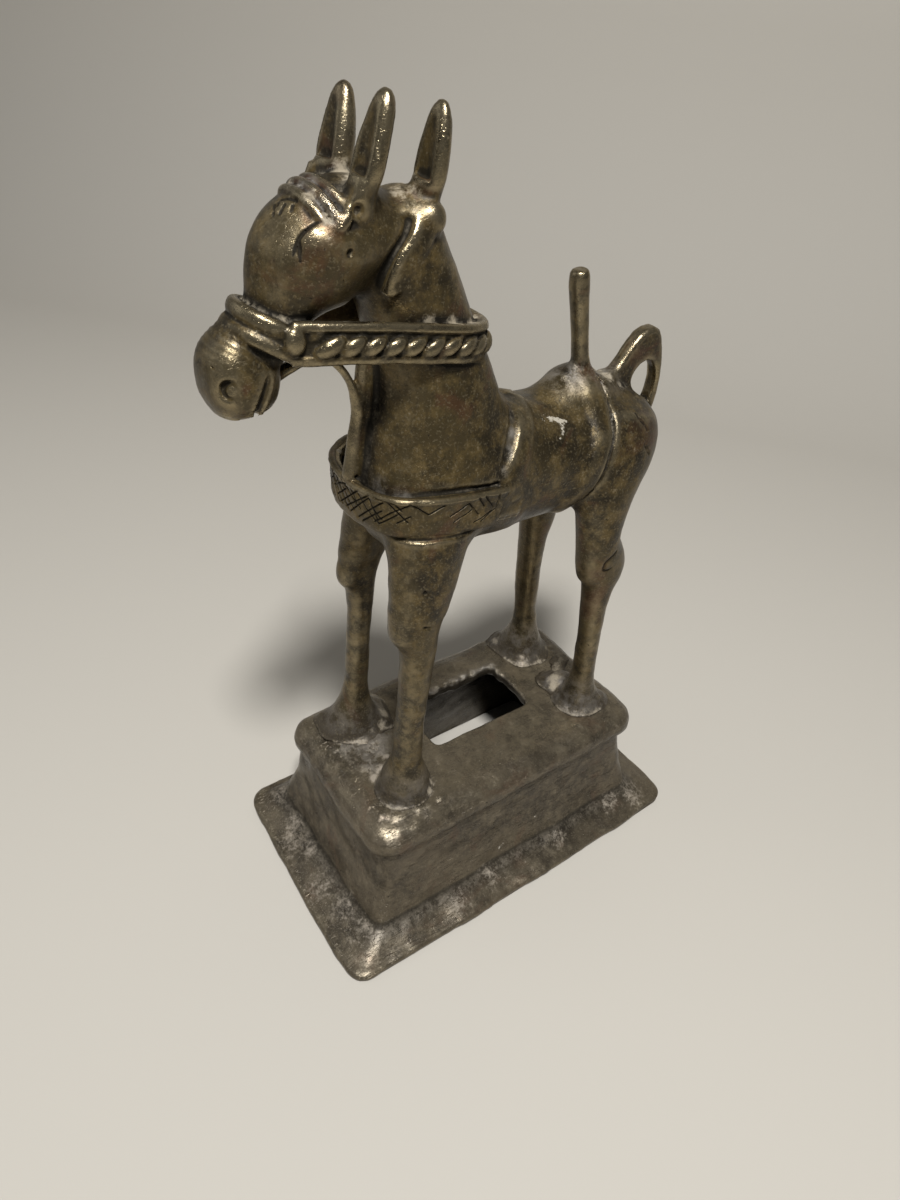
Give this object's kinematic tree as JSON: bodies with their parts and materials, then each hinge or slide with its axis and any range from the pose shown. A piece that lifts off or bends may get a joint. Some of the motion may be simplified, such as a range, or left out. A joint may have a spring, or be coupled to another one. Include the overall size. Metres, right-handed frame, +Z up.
{
  "type": "cast brass horse figurine",
  "caption": "Cast brass horse in harness with upright ears, a crest blade, a looped tail and a plain rod on its back, standing on a hollow stepped plinth.",
  "frame": {"origin": "middle of the whole figure's outline seen from above, at the height of the plinth's underside", "axes": "+Z up; the horse faces -Y and its left side is +X"},
  "size_m": [0.0962, 0.166, 0.2607],
  "materials": {
    "plinth_brass": "cast and filed brass gone dull grey-brown, dusty in the fillets",
    "horse_brass": "cast brass with a dark olive-brown patina, worn brighter on the raised forms"
  },
  "bodies": {
    "root": {"plinth": "plinth_brass", "horse": "horse_brass"}
  },
  "joints": []
}
